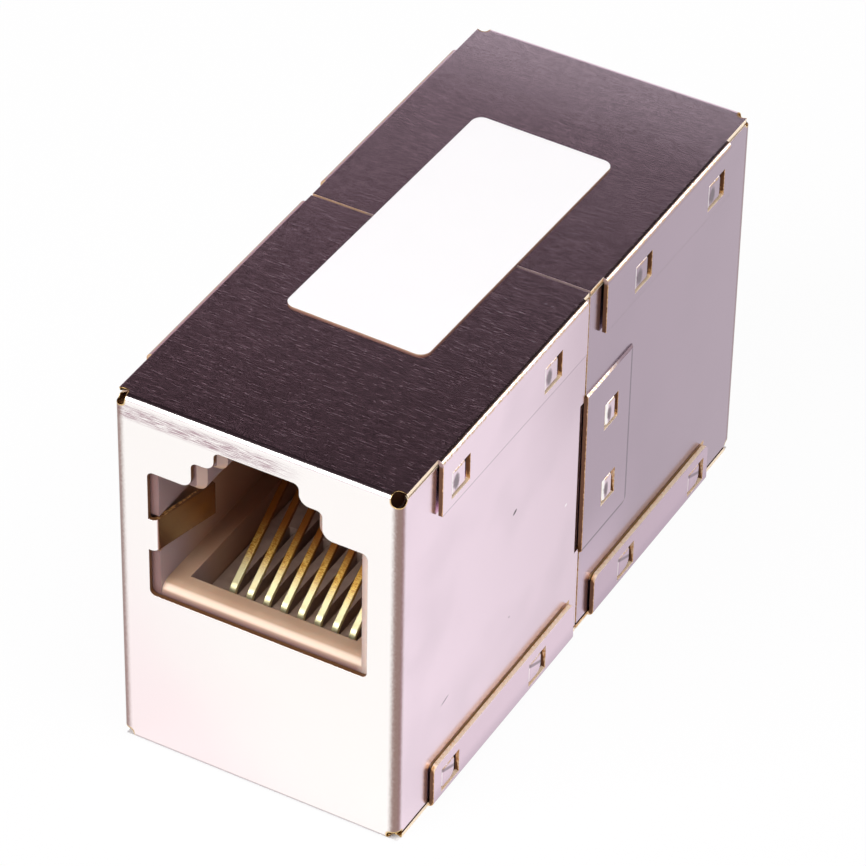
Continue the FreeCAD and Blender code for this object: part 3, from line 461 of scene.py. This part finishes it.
def smooth_patches(work, limit=math.radians(25)):
    """Groups faces that run on smoothly from one to the next."""
    seen = set()
    patches = []
    for first in work.faces:
        if first in seen:
            continue
        seen.add(first)
        patch = [first]
        for face in patch:
            for edge in face.edges:
                if len(edge.link_faces) == 2 and edge.calc_face_angle() < limit:
                    for other in edge.link_faces:
                        if other not in seen:
                            seen.add(other)
                            patch.append(other)
        patches.append(patch)
    return patches


def patch_width(patch):
    """Twice the area over the outline's length: the width of a long strip."""
    members = set(patch)
    area = sum(face.calc_area() for face in patch)
    outline = sum(edge.calc_length() for face in patch for edge in face.edges
                  if sum(other in members for other in edge.link_faces) == 1)
    return 2 * area / outline if outline else 1.0


def outward(face):
    """True where a face looks away from the middle of the coupler."""
    place = face.calc_center_median() - Vector((0, 0, MIDDLE * MM))
    return face.normal.dot(place) > 0


def mark_cut_edge(patch, cut, rim):
    """Marks a cut edge and, on it, how near each corner is to the sheet's outer skin: 0 inside, 1 outside."""
    members = set(patch)
    for face in patch:
        face[cut] = 1.0
        for corner in face.loops:
            skins = [other for other in corner.vert.link_faces if other not in members]
            corner[rim] = float(any(outward(other) for other in skins))


def mark_latch(patch, latch, latch_along, latch_up):
    """Marks a pressed latch and, on it, the place from its middle: -1 to 1 along the coupler and upwards."""
    places = np.array([vert.co for face in patch for vert in face.verts])
    middle, reach = (places.max(0) + places.min(0)) / 2, (places.max(0) - places.min(0)) / 2
    for face in patch:
        face[latch] = 1.0
        for corner in face.loops:
            corner[latch_along] = (corner.vert.co.y - middle[1]) / reach[1]
            corner[latch_up] = (corner.vert.co.z - middle[2]) / reach[2]


def dress_shell(node, material):
    """A shell with its cut edges, its pad's steps and its latches marked. A narrow patch is a step where it
    rises a little and a cut edge otherwise. A small patch that rises by a latch's height is a latch."""
    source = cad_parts[node].data
    directions = np.empty(len(source.loops) * 3)
    source.corner_normals.foreach_get("vector", directions)
    mesh, work = merged_copy(node + "_sheet", node)
    cut, latch, step = (work.faces.layers.float.new(name) for name in ("cut", "latch", "step"))
    names = ("rim", "latch_along", "latch_up")
    rim, latch_along, latch_up = (work.loops.layers.float.new(name) for name in names)
    for patch in smooth_patches(work):
        rise = np.ptp([abs(vert.co.x) for face in patch for vert in face.verts]) / MM
        area = sum(face.calc_area() for face in patch) / MM ** 2
        if patch_width(patch) < NARROW * MM:
            if LEAST_STEP < rise < MOST_STEP:
                for face in patch:
                    face[step] = 1.0
            else:
                mark_cut_edge(patch, cut, rim)
        elif abs(rise - LATCH_RISE) < 0.02 and area < LATCH_AREA:
            mark_latch(patch, latch, latch_along, latch_up)
    work.to_mesh(mesh)
    work.free()
    mesh.shade_smooth()
    mesh.normals_split_custom_set(directions.reshape(-1, 3))
    mesh.materials.append(material)
    piece = bpy.data.objects.new(node + "_sheet", mesh)
    bpy.context.scene.collection.objects.link(piece)
    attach(piece, BODY)
    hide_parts(node)


def paint(node, material):
    """Gives a CAD node a better material."""
    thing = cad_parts[node]
    if not thing.material_slots:
        thing.data.materials.append(material)
    for place in thing.material_slots:
        place.link = "OBJECT"
        place.material = material


def dress_object():
    """Every piece with its finish."""
    # Painted reflection and shade: the front shell's sides darken towards the rear and the rear shell's sides
    # are darker all over; both shells are the same nickel plate
    dress_shell("front_shell", nickel_sheet("front", (240, 218, 231), (210, 187, 200), (224, 199, 214)))
    dress_shell("rear_shell", nickel_sheet("rear", (168, 148, 163), (170, 151, 165), (193, 168, 185)))
    ivory, grey, gold = ivory_plastic(), grey_plastic(), contact_gold()
    for end in ("front", "rear"):
        paint(end + "_jack_housing", ivory)
        paint(end + "_contact_carrier", grey)
        for number in range(1, CONTACTS + 1):
            paint(f"{end}_contact_{number}", gold)
    paint("circuit_board", board_laminate())
    paint("insulating_base", ivory_plastic("base_plastic"))
    paint("label", label_film())


def white_floor():
    """A wide white floor: plain to the camera and in the metal, with the coupler's shadow left in it. Under
    the coupler it stays dark, so that nothing bright shows through the holes."""
    reach, drop = 1.2, 0.02 * MM
    mesh = bpy.data.meshes.new("floor")
    mesh.from_pydata([(-reach, -reach, 0), (reach, -reach, 0), (reach, reach, 0), (-reach, reach, 0)], [],
                     [(0, 1, 2, 3)])
    floor = bpy.data.objects.new("floor", mesh)
    floor.location.z = -drop
    bpy.context.scene.collection.objects.link(floor)
    f = Finish("white_floor")
    f.set(Base_Color=(0.9, 0.9, 0.9), Roughness=0.9)
    seen = f.node("ShaderNodeLightPath", {}, {}, output="Is Camera Ray")
    mirrored = f.node("ShaderNodeLightPath", {}, {}, output="Is Glossy Ray")
    aside, ahead = abs(f.across) - (PANEL - 0.05), abs(f.along) - (FACE - 0.2)
    beyond = aside.math("MAXIMUM", ahead).math("GREATER_THAN", 0.0)
    glow = f.node("ShaderNodeEmission", {}, {"Strength": 1.0})
    white = (mirrored * FLOOR_MIRRORED + seen * FLOOR_SEEN) * beyond
    mixed = f.node("ShaderNodeMixShader", {}, [white, Signal(f, f.shader.outputs[0]), glow])
    f.tree.links.new(mixed.socket, f.tree.nodes["Material Output"].inputs["Surface"])
    mesh.materials.append(f.material)


def dim_room():
    """The room round the table: white low down, dark higher up, which the brushed top mirrors."""
    world = bpy.data.worlds.new("room")
    bpy.context.scene.world = world
    world.use_nodes = True
    nodes, links = world.node_tree.nodes, world.node_tree.links
    place = nodes.new("ShaderNodeTexCoord")
    parts = nodes.new("ShaderNodeSeparateXYZ")
    links.new(place.outputs["Generated"], parts.inputs[0])
    ramp = nodes.new("ShaderNodeValToRGB")
    stops = ((0.0, 0.75), (0.4, 0.75), (0.5, 1.15), (0.53, 1.15), (0.545, 0.03), (0.85, 0.03), (1.0, 0.1))
    elements = ramp.color_ramp.elements
    while len(elements) < len(stops):
        elements.new(0.5)
    for element, (position, grey) in zip(elements, stops):
        element.position = position
        element.color = (grey, grey * 0.85, grey * 0.94, 1)
    links.new(parts.outputs["Z"], ramp.inputs[0])
    background = nodes["Background"]
    links.new(ramp.outputs[0], background.inputs["Color"])
    background.inputs["Strength"].default_value = 1.0


def soft_light(name, place, target, width, depth, watts):
    """A rectangular soft light aimed at a point."""
    data = bpy.data.lights.new(name, "AREA")
    data.shape = "RECTANGLE"
    data.size, data.size_y = width, depth
    data.energy = watts
    lamp = bpy.data.objects.new(name, data)
    lamp.location = place
    lamp.rotation_euler = (Vector(target) - Vector(place)).to_track_quat("-Z", "Y").to_euler()
    bpy.context.scene.collection.objects.link(lamp)


def light_set():
    """A large light in front and to the left, a weaker one overhead on the right, and a faint one behind on
    the right, which the folds of the upper flanges mirror."""
    soft_light("key", (-0.2, -0.5, 0.42), (0, 0, 0.01), 0.45, 0.45, 3.4)
    soft_light("overhead", (0.22, -0.12, 0.52), (0, 0, 0), 0.4, 0.4, 1.6)
    soft_light("edge", (0.38, 0.41, 0.23), (0, 0, 0.02), 0.25, 0.25, 0.45)


def place_camera():
    """The photograph's view: down at the front right corner from 267 mm away, with a slight tilt."""
    eye = Vector((100.206, -183.022, 179.388)) * MM
    target = Vector((0, -0.819, 11.165)) * MM
    tilt = Quaternion((0, 0, 1), math.radians(1.154))
    data = bpy.data.cameras.new("camera")
    data.lens = 209.807
    data.sensor_width = 36.0
    data.clip_start, data.clip_end = 0.01, 10.0
    camera = bpy.data.objects.new("camera", data)
    camera.location = eye
    camera.rotation_euler = ((target - eye).to_track_quat("-Z", "Y") @ tilt).to_euler()
    bpy.context.scene.collection.objects.link(camera)
    bpy.context.scene.camera = camera


dress_object()
white_floor()
dim_room()
light_set()
place_camera()
bpy.context.scene.view_settings.view_transform = "Standard"
